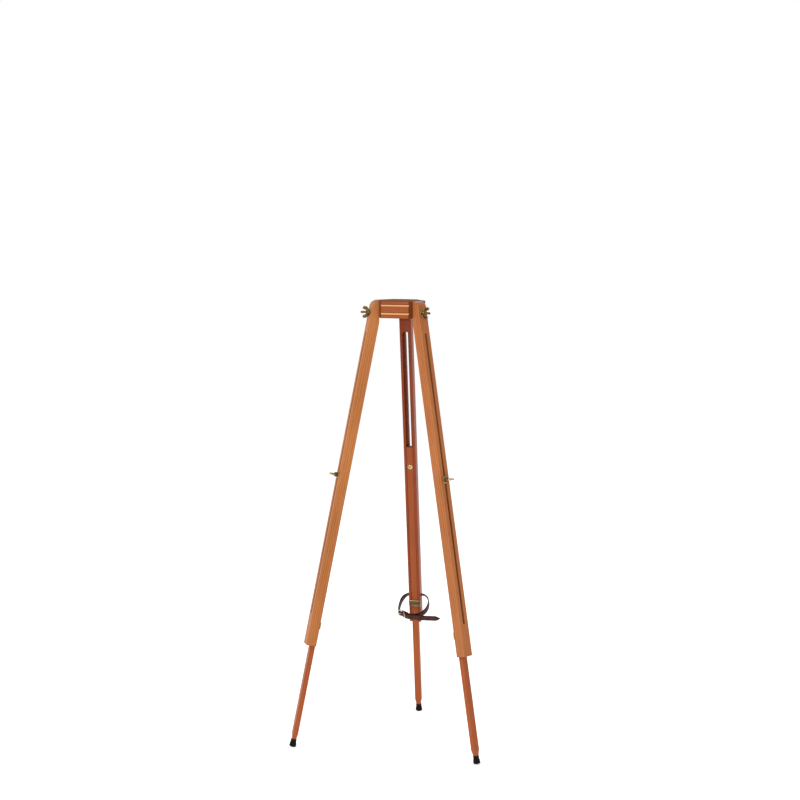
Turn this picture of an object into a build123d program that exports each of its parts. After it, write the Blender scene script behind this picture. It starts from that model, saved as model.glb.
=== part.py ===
from build123d import *
from math import cos, radians, sin, sqrt, tan
import os

# Tripod field easel stand: a six-sided beech head, three telescopic beech legs that
# fold under it, brass wing nuts and a leather strap buckled round the rear leg.
# Millimetres, +Z up. The origin is on the floor, under the middle of the head.

# ---- driving dimensions -------------------------------------------------------------
HEAD_TOP = 1105.0           # head's top face above the floor
HEAD_HEIGHT = 42.0
LEG_SIDE_APOTHEM = 56.5     # axis to the three sides that carry a leg
GROOVED_APOTHEM = 54.5      # axis to the three grooved sides between them
GROOVE_DROPS = (9.5, 29.5)  # groove centres below the head's top
GROOVE_HEIGHT = 6.0
GROOVE_DEPTH = 2.4
RECESS_RADIUS = 26.0        # round recess bored up from below
RECESS_ROOF = 14.0          # wood left above the recess
SCREW_HOLE_RADIUS = 5.0     # hole for the screw that holds a sketch box

LEG_TILT = 11.0             # leg's lean from upright when it is spread
LEG_WIDTH = 30.0
LEG_DEPTH = 25.0
LEG_TOP_OUTER = 71.4        # axis to the leg's outer face, level with the head's top
LEG_LENGTH = 862.5          # from the head's top, down the outer face
LEG_TOP_ROUND = 16.5        # rounding of the outer top corner
LEG_EDGE_ROUND = 1.5
FLAT_GAP = 0.1              # play between flat wooden faces that close on each other

CHANNEL_WIDTH = 16.9        # channel in the inner face for the lower leg
CHANNEL_DEPTH = 13.2
CHANNEL_TOP = 78.0
SLOT_WIDTH = 6.5            # slot in the outer wall for the clamp bolt
SLOT_TOP = 78.0
SLOT_BOTTOM = 785.0

LOWER_WIDTH = 16.4
LOWER_DEPTH = 12.6
LOWER_TOP = 382.0           # top of the lower leg, down the upper leg
LOWER_TAPER_START = 1088.0
FOOT_TOP = 1102.0
FOOT_NECK_RADIUS = 7.3
FOOT_RADIUS = 8.6
FOOT_DOME_RADIUS = 20.0
SPIGOT_RADIUS = 4.5
SPIGOT_LENGTH = 11.0

BOLT_RADIUS = 3.0
BOLT_HOLE_RADIUS = 3.25
HEAD_BOLT_DROP = 28.0       # head bolts below the head's top
PIVOT_RADIUS = 25.0         # axis to the ball nut that each head bolt swings on
BALL_RADIUS = 7.0
BALL_SEAT_RADIUS = 7.3
HEAD_BOLT_TIP = 99.5
SEAT_OUTER = 75.4           # axis to the flat seat for the head washer
SEAT_RADIUS = 9.6
CLAMP_DROP = 436.0          # clamp bolt, down the upper leg
CLAMP_BOLT_TIP = 21.5       # how far it stands out of the outer face
CLAMP_HEAD_RADIUS = 6.5
CLAMP_HEAD_HEIGHT = 3.4

WASHER_RADIUS = 8.5
WASHER_THICKNESS = 1.5
WASHER_GAP = 0.05
NUT_HEIGHT = 18.0
NUT_BASE_HEIGHT = 8.0
NUT_BASE_RADIUS = 6.2
NUT_NECK_RADIUS = 5.0
NUT_SPAN = 30.0
NUT_WING_THICKNESS = 2.6
NUT_BORE_RADIUS = 3.05

PLATE_TOP = 802.5
PLATE_HEIGHT = 17.0
PLATE_THICKNESS = 1.8
PLATE_SCREW_OFFSET = 11.7
PLATE_SCREW_RADIUS = 1.5
PLATE_SCREW_HEAD_RADIUS = 2.6
PLATE_SCREW_LENGTH = 9.0

STRAP_DROP = 797.5          # strap's screw, down the rear leg's outer face
STRAP_DROOP = 25.7          # how far the loop hangs below square to the leg
STRAP_WIDTH = 17.0
STRAP_THICKNESS = 2.5
STRAP_GAP = 0.15            # between the strap and the leg it is screwed to
STRAP_SECTIONS = 60
STRAP_TIP_LENGTH = 14.0
STRAP_HOLE_RADIUS = 1.75
STRAP_HOLE_SPACING = 25.0
STRAP_HOLE_FROM_TIP = 51.0
STRAP_SCREW_RADIUS = 1.8
STRAP_SCREW_HEAD_RADIUS = 4.2
STRAP_SCREW_HEAD_HEIGHT = 1.9
STRAP_SCREW_LENGTH = 9.0    # in the wood

BUCKLE_BAR_RADIUS = 1.1
BUCKLE_PLACE = (-23.5, 65.0)  # middle bar, in the plane of the strap's loop
BUCKLE_TURN = 30.0
BUCKLE_REACH = 10.5         # middle bar to each outer bar
BUCKLE_RISE = 6.4           # outer bars stand this far outside the middle bar
BUCKLE_RAIL = 10.4          # middle of the strap to each side rail
FOLD_RADIUS = 2.6           # strap's end, thinned and folded round the middle bar
PRONG_SLOT = 3.2            # slot in the strap that the prong moves in

LEG_TURNS = {"rear": 0.0, "left": 120.0, "right": 240.0}
WING_TURNS = {
    "head": {"rear": 20.0, "left": 84.0, "right": 78.0},
    "clamp": {"rear": 72.0, "left": 4.0, "right": -3.0},
}

# ---- derived ------------------------------------------------------------------------
HEAD_BOLT_Z = HEAD_TOP - HEAD_BOLT_DROP
LEG_FACET = LEG_SIDE_APOTHEM + FLAT_GAP
LOWER_Y = -(LEG_DEPTH - CHANNEL_DEPTH / 2)
SWING = radians(LEG_TILT)

# The leg's own frame: origin where its outer face meets the level of the head's top,
# +Y out of the outer face, +Z up the leg. All three legs are drawn at the rear.
LEG_FRAME = Location((0, LEG_TOP_OUTER, HEAD_TOP), (LEG_TILT, 0, 0))


def down_leg(x, y, drop):
    """A place in the leg's own frame, at a distance down the leg."""
    return Pos(x, y, -drop)


def cylinder_y(radius, y_from, y_to):
    """A cylinder along Y, which runs from y_from to y_to."""
    length = y_to - y_from
    return Pos(0, (y_from + y_to) / 2, 0) * Rot(90, 0, 0) * Cylinder(radius, length)


def side_profile(*points):
    """A face in the YZ plane through the given (y, z) points."""
    return Plane.YZ * make_face(Polyline(*points, close=True))


def head_block():
    """Six-sided head: plain leg sides, grooved sides between, recess below."""
    corners = []
    for index in range(6):
        own, following = LEG_SIDE_APOTHEM, GROOVED_APOTHEM
        if index % 2:
            own, following = following, own
        along = (following - own * cos(radians(60))) / sin(radians(60))
        corners.append(Vector(own, along).rotate(Axis.Z, 90 + 60 * index))
    outline = make_face(Polyline(*corners, close=True))
    block = Pos(0, 0, HEAD_TOP - HEAD_HEIGHT) * extrude(outline, HEAD_HEIGHT)
    rims = block.faces().sort_by(Axis.Z)[-1].edges() + block.faces().sort_by(Axis.Z)[0].edges()
    block = chamfer(rims, 0.8)

    recess_height = HEAD_HEIGHT - RECESS_ROOF
    recess_z = HEAD_TOP - HEAD_HEIGHT + recess_height / 2
    block -= Pos(0, 0, recess_z) * Cylinder(RECESS_RADIUS, recess_height)
    block -= Pos(0, 0, HEAD_TOP) * Cylinder(SCREW_HOLE_RADIUS, 4 * RECESS_ROOF)
    for turn in LEG_TURNS.values():
        block -= leg_side_cuts().rotate(Axis.Z, turn)
        for drop in GROOVE_DROPS:
            block -= groove_cut(HEAD_TOP - drop).rotate(Axis.Z, turn + 60)
    return block


def groove_cut(z):
    """V-groove across one grooved side, drawn at the rear."""
    rim = GROOVED_APOTHEM + 1.0
    half = GROOVE_HEIGHT / 2 * (GROOVE_DEPTH + 1.0) / GROOVE_DEPTH
    triangle = side_profile(
        (rim, z + half), (GROOVED_APOTHEM - GROOVE_DEPTH, z), (rim, z - half)
    )
    return extrude(triangle, LEG_SIDE_APOTHEM, both=True)


def leg_side_cuts():
    """Ball seat, flared bolt slot and the bevel that the folded leg closes on."""
    play = BOLT_HOLE_RADIUS + 0.2
    reach = LEG_SIDE_APOTHEM + 2.0 - PIVOT_RADIUS
    seat = Pos(0, PIVOT_RADIUS, HEAD_BOLT_Z) * Sphere(BALL_SEAT_RADIUS)
    slot = extrude(
        side_profile(
            (PIVOT_RADIUS, HEAD_BOLT_Z + play),
            (PIVOT_RADIUS + reach, HEAD_BOLT_Z + play),
            (PIVOT_RADIUS + reach, HEAD_BOLT_Z - play / cos(SWING) - reach * tan(SWING)),
            (PIVOT_RADIUS, HEAD_BOLT_Z - play / cos(SWING)),
        ),
        play,
        both=True,
    )
    # Where the leg's flat lands after its swing about the ball nut.
    lever = LEG_FACET - FLAT_GAP - PIVOT_RADIUS
    landing = PIVOT_RADIUS + lever / cos(SWING) - FLAT_GAP
    bevel_start = (landing - LEG_SIDE_APOTHEM) / tan(SWING)
    bevel_end = HEAD_HEIGHT - HEAD_BOLT_DROP + 2.0
    bevel = extrude(
        side_profile(
            (LEG_SIDE_APOTHEM, HEAD_BOLT_Z - bevel_start),
            (LEG_SIDE_APOTHEM + 2.0, HEAD_BOLT_Z - bevel_start),
            (LEG_SIDE_APOTHEM + 2.0, HEAD_BOLT_Z - bevel_end),
            (landing - bevel_end * tan(SWING), HEAD_BOLT_Z - bevel_end),
        ),
        LEG_WIDTH / 2 + 0.5,
        both=True,
    )
    return seat + slot + bevel


def upper_leg():
    """Upper leg: bevelled flat for the head, rounded top, channel and slot."""
    lean = Vector(0, sin(SWING), -cos(SWING))
    inward = Vector(0, -cos(SWING), -sin(SWING))
    outer_top = Vector(0, LEG_TOP_OUTER, HEAD_TOP)
    outer_end = outer_top + lean * LEG_LENGTH
    inner_end = outer_end + inward * LEG_DEPTH
    facet_run = (inner_end.Y - LEG_FACET) / sin(SWING)
    inner_start = inner_end - lean * facet_run
    corners = [outer_top, outer_end, inner_end, inner_start, Vector(0, LEG_FACET, HEAD_TOP)]
    outline = side_profile(*[(corner.Y, corner.Z) for corner in corners])
    top_corner = outline.vertices().sort_by_distance(outer_top)[0]
    leg = extrude(fillet(top_corner, LEG_TOP_ROUND), LEG_WIDTH / 2, both=True)
    long_edges = leg.edges().filter_by(lambda edge: edge.length > LEG_LENGTH * 0.8)
    leg = fillet(long_edges, LEG_EDGE_ROUND)

    channel_length = LEG_LENGTH - CHANNEL_TOP
    arch = CHANNEL_WIDTH / 2
    channel_y = -LEG_DEPTH + CHANNEL_DEPTH / 2
    channel = down_leg(0, channel_y - 1, CHANNEL_TOP + arch + channel_length / 2) * Box(
        CHANNEL_WIDTH, CHANNEL_DEPTH + 2, channel_length
    )
    channel += down_leg(0, 0, CHANNEL_TOP + arch) * cylinder_y(
        arch, -LEG_DEPTH - 2, -LEG_DEPTH + CHANNEL_DEPTH
    )
    slot_radius = SLOT_WIDTH / 2
    slot_y = (-LEG_DEPTH + CHANNEL_DEPTH - 1, 2)
    slot_ends = (SLOT_TOP + slot_radius, SLOT_BOTTOM - slot_radius)
    slot = down_leg(0, sum(slot_y) / 2, sum(slot_ends) / 2) * Box(
        SLOT_WIDTH, slot_y[1] - slot_y[0], slot_ends[1] - slot_ends[0]
    )
    for drop in slot_ends:
        slot += down_leg(0, 0, drop) * cylinder_y(slot_radius, *slot_y)
    leg -= LEG_FRAME * (channel + slot + plate_screws(0.0))

    bolt_place = Pos(0, 0, HEAD_BOLT_Z)
    leg -= bolt_place * cylinder_y(BOLT_HOLE_RADIUS, PIVOT_RADIUS, HEAD_BOLT_TIP)
    leg -= bolt_place * cylinder_y(SEAT_RADIUS, SEAT_OUTER, HEAD_BOLT_TIP)
    return leg


def lower_leg():
    """Sliding lower leg with a tapered end and a spigot for the rubber foot."""
    straight = LOWER_TAPER_START - LOWER_TOP
    leg = down_leg(0, LOWER_Y, LOWER_TOP + straight / 2) * Box(
        LOWER_WIDTH, LOWER_DEPTH, straight
    )
    rounded = leg.edges().filter_by(Axis.Z) + leg.edges().group_by(Axis.Z)[-1]
    leg = fillet(rounded, 1.0)
    neck = 2 * FOOT_NECK_RADIUS / sqrt(2) - 0.4
    taper_faces = [
        down_leg(0, LOWER_Y, LOWER_TAPER_START) * RectangleRounded(LOWER_WIDTH, LOWER_DEPTH, 1.0),
        down_leg(0, LOWER_Y, FOOT_TOP) * RectangleRounded(neck, neck, 1.0),
    ]
    leg += loft(taper_faces)
    leg += down_leg(0, LOWER_Y, FOOT_TOP + SPIGOT_LENGTH / 2) * Cylinder(
        SPIGOT_RADIUS, SPIGOT_LENGTH
    )
    leg -= down_leg(0, 0, CLAMP_DROP) * cylinder_y(BOLT_HOLE_RADIUS, -LEG_DEPTH, 0)
    return LEG_FRAME * leg


def foot_dome_drop():
    """Distance down the leg to the middle of the foot's rolling dome."""
    return (HEAD_TOP - FOOT_DOME_RADIUS + LOWER_Y * sin(SWING)) / cos(SWING)


def rubber_foot():
    """Rubber foot: a flared ferrule whose domed tip stands on the floor."""
    dome_z = -foot_dome_drop()
    edge_z = dome_z - sqrt(FOOT_DOME_RADIUS**2 - FOOT_RADIUS**2)
    tip_z = dome_z - FOOT_DOME_RADIUS
    dome_mid = FOOT_RADIUS / 2
    dome_mid_z = dome_z - sqrt(FOOT_DOME_RADIUS**2 - dome_mid**2)
    outline = Polyline(
        (0, tip_z),
        (0, -FOOT_TOP),
        (FOOT_NECK_RADIUS, -FOOT_TOP),
        (FOOT_NECK_RADIUS, -FOOT_TOP - 7.0),
        (FOOT_RADIUS, -FOOT_TOP - 12.0),
        (FOOT_RADIUS, edge_z),
    )
    outline += ThreePointArc((FOOT_RADIUS, edge_z), (dome_mid, dome_mid_z), (0, tip_z))
    foot = revolve(Plane.XZ * make_face(outline), Axis.Z)
    foot = Pos(0, LOWER_Y, 0) * foot
    foot -= down_leg(0, LOWER_Y, FOOT_TOP + SPIGOT_LENGTH / 2) * Cylinder(
        SPIGOT_RADIUS, SPIGOT_LENGTH
    )
    return LEG_FRAME * foot


def leg_plate():
    """Brass plate that closes the channel near the upper leg's lower end."""
    plate = down_leg(0, -LEG_DEPTH - PLATE_THICKNESS / 2, PLATE_TOP + PLATE_HEIGHT / 2) * Box(
        LEG_WIDTH, PLATE_THICKNESS, PLATE_HEIGHT
    )
    plate = fillet(plate.edges().filter_by(Axis.Y), 1.5)
    return LEG_FRAME * (plate - plate_screws(0.0))


def plate_screws(slot_depth):
    """The two countersunk screws of a brass plate, with slots of the given depth."""
    face = -LEG_DEPTH - PLATE_THICKNESS
    sink = PLATE_SCREW_HEAD_RADIUS - PLATE_SCREW_RADIUS
    screws = []
    for x in (-PLATE_SCREW_OFFSET, PLATE_SCREW_OFFSET):
        screw = cylinder_y(PLATE_SCREW_RADIUS, face, -LEG_DEPTH + PLATE_SCREW_LENGTH)
        cone = Cone(PLATE_SCREW_RADIUS, PLATE_SCREW_HEAD_RADIUS, sink)
        screw += Pos(0, face + sink / 2, 0) * Rot(90, 0, 0) * cone
        if slot_depth:
            screw -= Pos(0, face, 0) * Box(4 * PLATE_SCREW_RADIUS, 2 * slot_depth, 0.7)
        screws.append(down_leg(x, 0, PLATE_TOP + PLATE_HEIGHT / 2) * screw)
    return Part() + screws


def ball_nut():
    """Ball nut in the head's recess, which lets a head bolt swing with its leg."""
    ball = Pos(0, PIVOT_RADIUS, HEAD_BOLT_Z) * Sphere(BALL_RADIUS)
    return ball - Pos(0, 0, HEAD_BOLT_Z) * cylinder_y(BOLT_RADIUS, 0, HEAD_BOLT_TIP)


def head_bolt():
    """Threaded rod from the ball nut out through the top of the leg."""
    rod = Pos(0, 0, HEAD_BOLT_Z) * cylinder_y(
        BOLT_RADIUS, PIVOT_RADIUS - BALL_RADIUS, HEAD_BOLT_TIP
    )
    return chamfer(rod.edges().sort_by(Axis.Y)[-1], 0.8)


def clamp_bolt():
    """Slotted round-head bolt through the lower leg and the upper leg's slot."""
    seat = LOWER_Y - LOWER_DEPTH / 2
    bolt = cylinder_y(BOLT_RADIUS, seat, CLAMP_BOLT_TIP)
    bolt = chamfer(bolt.edges().sort_by(Axis.Y)[-1], 0.8)
    dome = (CLAMP_HEAD_RADIUS**2 + CLAMP_HEAD_HEIGHT**2) / (2 * CLAMP_HEAD_HEIGHT)
    head = Pos(0, seat - CLAMP_HEAD_HEIGHT + dome, 0) * Sphere(dome)
    head &= cylinder_y(CLAMP_HEAD_RADIUS, seat - CLAMP_HEAD_HEIGHT - 1, seat)
    head -= Pos(0, seat - CLAMP_HEAD_HEIGHT, 0) * Box(3 * CLAMP_HEAD_RADIUS, 2.8, 1.4)
    return LEG_FRAME * down_leg(0, 0, CLAMP_DROP) * (bolt + head)


def washer():
    """Flat washer lying on y = 0."""
    ring = cylinder_y(WASHER_RADIUS, WASHER_GAP, WASHER_GAP + WASHER_THICKNESS)
    return ring - cylinder_y(BOLT_HOLE_RADIUS, -1, 3)


def wing_nut(turn):
    """Wing nut whose base lies on the washer, with its wings turned about Y."""
    base = WASHER_GAP + WASHER_THICKNESS
    hub = Pos(0, base + NUT_BASE_HEIGHT / 2, 0) * Rot(-90, 0, 0) * Cone(
        NUT_BASE_RADIUS, NUT_NECK_RADIUS, NUT_BASE_HEIGHT
    )
    half_span = NUT_SPAN / 2
    wing = make_face(
        Spline((2.5, 1.5), (7.0, 2.8), (half_span - 1.5, 8.5), (half_span, 14.5))
        + Spline((half_span, 14.5), (half_span - 2.2, NUT_HEIGHT), (half_span - 5.5, NUT_HEIGHT - 3.0))
        + Spline((half_span - 5.5, NUT_HEIGHT - 3.0), (6.2, 9.4), (2.5, NUT_BASE_HEIGHT - 0.5))
        + Line((2.5, NUT_BASE_HEIGHT - 0.5), (2.5, 1.5))
    )
    wing = extrude(wing, NUT_WING_THICKNESS / 2, both=True)
    wings = Pos(0, base, 0) * (wing + wing.rotate(Axis.Y, 180))
    nut = hub + wings - cylinder_y(NUT_BORE_RADIUS, 0, NUT_HEIGHT + 4)
    return nut.rotate(Axis.Y, turn)


def loop_plane():
    """Plane of the strap's loop in the leg's frame: x across the leg, y outward."""
    droop = radians(STRAP_DROOP)
    return Plane(origin=(0, 0, -STRAP_DROP), x_dir=(1, 0, 0), z_dir=(0, sin(droop), -cos(droop)))


def buckle_frame_place():
    """Place of the buckle: x along the strap, y out of its face, z across it."""
    return loop_plane().location * Pos(*BUCKLE_PLACE, 0) * Rot(0, 0, BUCKLE_TURN)


def strap_line():
    """Course of the strap in the plane of its loop.

    It starts at the buckle's middle bar, runs round the leg and comes back through
    the buckle to its loose end, which points to the right.
    """
    back = -(STRAP_THICKNESS / 2 + STRAP_GAP) / cos(radians(STRAP_DROOP))
    return Spline(
        (-21.9, 65.9),
        (-12.0, 70.6),
        (2.0, 72.5),
        (16.0, 69.6),
        (28.0, 60.3),
        (35.5, 46.0),
        (37.3, 30.0),
        (31.0, 9.5),
        (17.0, back),
        (9.0, back),
        (0.0, back),
        (-9.0, back),
        (-17.0, back),
        (-31.0, 9.5),
        (-37.0, 30.0),
        (-37.4, 50.0),
        (-34.2, 63.3),
        (-25.5, 68.5),
        (-16.2, 73.7),
        (0.0, 76.9),
        (22.0, 77.2),
        (48.0, 76.3),
        (76.0, 75.0),
    )


def strap_place(line, distance):
    """Plane of the strap's section at a distance along its course: x across the strap."""
    at = line.position_at(distance, position_mode=PositionMode.LENGTH)
    along = line.tangent_at(distance, position_mode=PositionMode.LENGTH)
    course = loop_plane()
    ease = min(max(at.Y / 18.0, 0.0), 1.0)
    lean = radians(STRAP_DROOP) * ease * ease * (3 - 2 * ease)
    direction = course.x_dir * along.X + course.y_dir * along.Y
    across = Vector(0, -sin(lean), cos(lean))
    across = (across - direction * across.dot(direction)).normalized()
    return Plane(origin=course.from_local_coords(at), x_dir=across, z_dir=direction)


def strap():
    """Leather strap: one strip round the rear leg, with its holes punched."""
    line = strap_line()
    straight = line.length - STRAP_TIP_LENGTH
    strip = loft(
        [
            strap_place(line, straight * index / STRAP_SECTIONS)
            * Rectangle(STRAP_WIDTH, STRAP_THICKNESS)
            for index in range(STRAP_SECTIONS + 1)
        ],
        ruled=True,
    )
    half = STRAP_WIDTH / 2
    point = make_face(
        Polyline(
            (-half, 0),
            (half, 0),
            (half - 2.5, 5.0),
            (0, STRAP_TIP_LENGTH),
            (-half + 2.5, 5.0),
            close=True,
        )
    )
    end = strap_place(line, straight)
    tip = Plane(origin=end.origin, x_dir=end.x_dir, z_dir=-end.y_dir)
    strip += tip * extrude(point, STRAP_THICKNESS / 2, both=True)

    strip += buckle_frame_place() * Cylinder(FOLD_RADIUS, STRAP_WIDTH)
    strip -= buckle_frame_place() * Cylinder(BUCKLE_BAR_RADIUS + 0.05, STRAP_WIDTH)
    strip -= buckle_frame_place() * Box(2 * FOLD_RADIUS, 2 * FOLD_RADIUS, PRONG_SLOT)
    strip -= buckle_frame_place() * Pos(-3.7, 4.0, 0) * Box(5.6, 3.6, PRONG_SLOT)
    for number in range(2):
        from_tip = STRAP_HOLE_FROM_TIP + number * STRAP_HOLE_SPACING
        place = strap_place(line, line.length - from_tip)
        strip -= place.location * Rot(90, 0, 0) * Cylinder(STRAP_HOLE_RADIUS, 2 * STRAP_THICKNESS)
    return strip - strap_screw()


def strap_screw():
    """Round-headed screw that holds the strap to the outer face of the rear leg."""
    face = STRAP_THICKNESS + STRAP_GAP
    screw = cylinder_y(STRAP_SCREW_RADIUS, -STRAP_SCREW_LENGTH, face)
    dome = (STRAP_SCREW_HEAD_RADIUS**2 + STRAP_SCREW_HEAD_HEIGHT**2) / (
        2 * STRAP_SCREW_HEAD_HEIGHT
    )
    head = Pos(0, face + STRAP_SCREW_HEAD_HEIGHT - dome, 0) * Sphere(dome)
    head &= cylinder_y(STRAP_SCREW_HEAD_RADIUS, face, face + STRAP_SCREW_HEAD_HEIGHT + 1)
    return down_leg(0, 0, STRAP_DROP) * (screw + head)


def buckle_frame():
    """Curved buckle frame: two outer bars, a middle bar and two side rails."""
    bar = BUCKLE_BAR_RADIUS
    end = BUCKLE_REACH + bar
    top = BUCKLE_RISE + bar
    outline = make_face(
        Polyline(
            (-end, top),
            (-end, BUCKLE_RISE - bar),
            (-bar, -bar),
            (bar, -bar),
            (end, BUCKLE_RISE - bar),
            (end, top),
            (end - 2 * bar, top),
            (0, 2 * bar),
            (-end + 2 * bar, top),
            close=True,
        )
    )
    rail = extrude(outline, bar, both=True)
    frame = Pos(0, 0, BUCKLE_RAIL) * rail + Pos(0, 0, -BUCKLE_RAIL) * rail
    for x, y in ((-BUCKLE_REACH, BUCKLE_RISE), (0, 0), (BUCKLE_REACH, BUCKLE_RISE)):
        frame += Pos(x, y, 0) * Cylinder(bar, 2 * BUCKLE_RAIL)
    return buckle_frame_place() * frame


def buckle_prong():
    """Prong that loops round the middle bar and rests on the outer bar."""
    eye = Cylinder(2.3, 2.4) - Cylinder(BUCKLE_BAR_RADIUS + 0.05, 2.4)
    rest = BUCKLE_RISE + BUCKLE_BAR_RADIUS + 0.05
    arm = make_face(
        Polyline(
            (-1.5, 1.3),
            (-8.3, rest - 0.2),
            (-9.6, rest),
            (-12.8, rest),
            (-12.8, rest + 1.2),
            (-8.0, rest + 1.7),
            (-0.6, 2.1),
            close=True,
        )
    )
    return buckle_frame_place() * (eye + extrude(arm, 1.2, both=True))


def place_leg(shape, turn):
    """Carry a piece drawn at the rear round to its own leg."""
    return shape.rotate(Axis.Z, turn)


os.makedirs("parts", exist_ok=True)

pieces = {"head_block": head_block()}
upper, lower, foot = upper_leg(), lower_leg(), rubber_foot()
plate, screws = leg_plate(), LEG_FRAME * plate_screws(0.6)
HEAD_SEAT = Pos(0, SEAT_OUTER, HEAD_BOLT_Z)
CLAMP_SEAT = LEG_FRAME * down_leg(0, 0, CLAMP_DROP)
for side, turn in LEG_TURNS.items():
    shapes = {
        "upper_leg": upper,
        "lower_leg": lower,
        "rubber_foot": foot,
        "leg_plate": plate,
        "plate_screws": screws,
        "ball_nut": ball_nut(),
        "head_bolt": head_bolt(),
        "head_washer": HEAD_SEAT * washer(),
        "head_wing_nut": HEAD_SEAT * wing_nut(WING_TURNS["head"][side]),
        "clamp_bolt": clamp_bolt(),
        "clamp_washer": CLAMP_SEAT * washer(),
        "clamp_wing_nut": CLAMP_SEAT * wing_nut(WING_TURNS["clamp"][side]),
    }
    for name, shape in shapes.items():
        pieces[f"{name}_{side}"] = place_leg(shape, turn)
pieces["upper_leg_rear"] -= LEG_FRAME * strap_screw()
pieces["strap"] = LEG_FRAME * strap()
pieces["strap_screw"] = LEG_FRAME * strap_screw()
pieces["buckle_frame"] = LEG_FRAME * buckle_frame()
pieces["buckle_prong"] = LEG_FRAME * buckle_prong()

for name, shape in pieces.items():
    export_step(shape, f"parts/{name}.step")
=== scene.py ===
from math import cos, pi, radians, sin, sqrt

import bmesh
import bpy
import numpy as np
from mathutils import Matrix, Vector


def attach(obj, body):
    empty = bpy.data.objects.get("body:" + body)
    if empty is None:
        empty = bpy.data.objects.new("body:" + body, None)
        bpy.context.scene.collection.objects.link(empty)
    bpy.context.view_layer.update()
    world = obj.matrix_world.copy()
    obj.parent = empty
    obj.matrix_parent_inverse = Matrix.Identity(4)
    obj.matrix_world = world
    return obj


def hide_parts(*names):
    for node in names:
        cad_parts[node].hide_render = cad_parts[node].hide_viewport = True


# Looks of a tripod field easel stand: oiled beech, aged brass, rubber and leather.
# Pieces are drawn in millimetres in the place they belong to, then set into the frame,
# which is in metres with +Z up and its origin on the floor under the head.

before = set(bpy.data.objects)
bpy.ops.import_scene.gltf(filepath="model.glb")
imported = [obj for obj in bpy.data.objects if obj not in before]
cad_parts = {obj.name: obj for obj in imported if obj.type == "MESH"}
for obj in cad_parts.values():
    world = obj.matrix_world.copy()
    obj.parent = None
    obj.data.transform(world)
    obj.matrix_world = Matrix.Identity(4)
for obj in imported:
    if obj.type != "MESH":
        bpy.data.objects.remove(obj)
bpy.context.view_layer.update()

MM = 0.001
CUT_EDGES, ROUND_EDGES = 35.0, 60.0     # degrees: smooth below, sharp above

# ---- driving dimensions, millimetres ------------------------------------------------
HEAD_TOP = 1105.0
HEAD_BOLT_Z = 1077.0
LEG_TILT = radians(11.0)
LEG_TOP_OUTER = 71.4
LEG_DEPTH = 25.0
LEG_WIDTH = 30.0
LOWER_Y = -18.4             # middle of the lower leg, in from the leg's outer face
LOWER_DEPTH = 12.6
SEAT_OUTER = 75.4           # axis to the seat of the head washers
HEAD_BOLT_FROM = 18.0
HEAD_BOLT_TIP = 99.5
CLAMP_DROP = 436.0
CLAMP_BOLT_TIP = 21.5
CLAMP_HEAD_RADIUS = 6.5
CLAMP_HEAD_HEIGHT = 3.4
CLAMP_SLOT = (20, 1.4, 2.8)
BOLT_RADIUS = 3.0
THREAD_PITCH = 1.0
THREAD_DEPTH = 0.5
WASHER_GAP = 0.05
WASHER_THICKNESS = 1.5
WASHER_RADIUS = 8.5
WASHER_BORE = 3.25
NUT_BORE = 3.05
PLATE_MIDDLE = 811.0        # brass plate, down the leg
PLATE_HEIGHT = 17.0
PLATE_THICKNESS = 1.8
PLATE_SCREW_OFFSET = 11.7
PLATE_SCREW = (2.6, 0.9, 9.0)       # head radius, head height, length in the wood
PLATE_SCREW_TURNS = (0.4, 1.9)      # angles of the two slots, radians
STRAP_SCREW = (4.2, 1.9, 11.6)
STRAP_SCREW_TURN = 0.7
PANEL_HALF = (8.0, 5.8)     # pressed panel in the plate's middle
FOOT_TOP = 1102.0
FOOT_NECK = 7.3
FOOT_RADIUS = 8.6
FOOT_DOME = 20.0
SPIGOT_RADIUS = 4.5
STRAP_DROP = 797.5
STRAP_DROOP = radians(25.7)
STRAP_WIDTH = 17.0
STRAP_THICKNESS = 2.5
STRAP_GAP = 0.15
STRAP_HOLES = (51.0, 76.0)  # from the strap's tip
STRAP_HOLE_RADIUS = 1.75
STRAP_TIP = 14.0            # length over which the loose end comes to a point
BUCKLE_PLACE = (-23.5, 65.0)
BUCKLE_TURN = radians(30.0)
BUCKLE_REACH = 10.5
BUCKLE_RISE = 6.4
BUCKLE_RAIL = 10.4
BUCKLE_WIRE = 1.1
BUCKLE_CORNER = 3.4
PRONG_EYE = 1.75            # radius of the prong's eye round the middle bar
SKIVED = 1.4                # strap's thickness where it folds round the middle bar
FOLD_FLAP = 15.0            # folded end, back along the strap from the middle bar
FOLD_EASE = 11.0            # length over which the strap grows to its full thickness
FOLD_START = 1.2            # start of the strap's course that the fold takes over
FOLD_POINTS = 35            # first points of the course, which may lie in the fold
COURSE_POINTS = 330
PRONG_SLOT = (4.6, 5.6, 3.2)        # cut through the fold for the prong's eye
PRONG_MOUTH = (5.6, 3.6, 3.2)       # and on top, for its arm

# Outlines as (radius, height), from the nut's base.
NUT_HUB = [(0.6, 0), (6.4, 0), (6.4, 1.6), (4.9, 8.4), (0.6, 8.4)]
NUT_EAR = [
    (1.0, 1.4), (6.6, 2.4), (11.8, 5.6), (14.8, 10.8), (14.3, 15.8), (11.0, 18.2),
    (7.4, 16.2), (6.0, 11.8), (1.0, 8.2),
]
NUT_EAR_MIDDLE = (9.0, 10.0)
NUT_EAR_ROUNDING = [(-1.0, 0.84), (-0.75, 0.97), (0, 1.0), (0.75, 0.97), (1.0, 0.84)]
NUT_VOXEL = 0.34            # size of the cells that melt the ears into the hub

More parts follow.
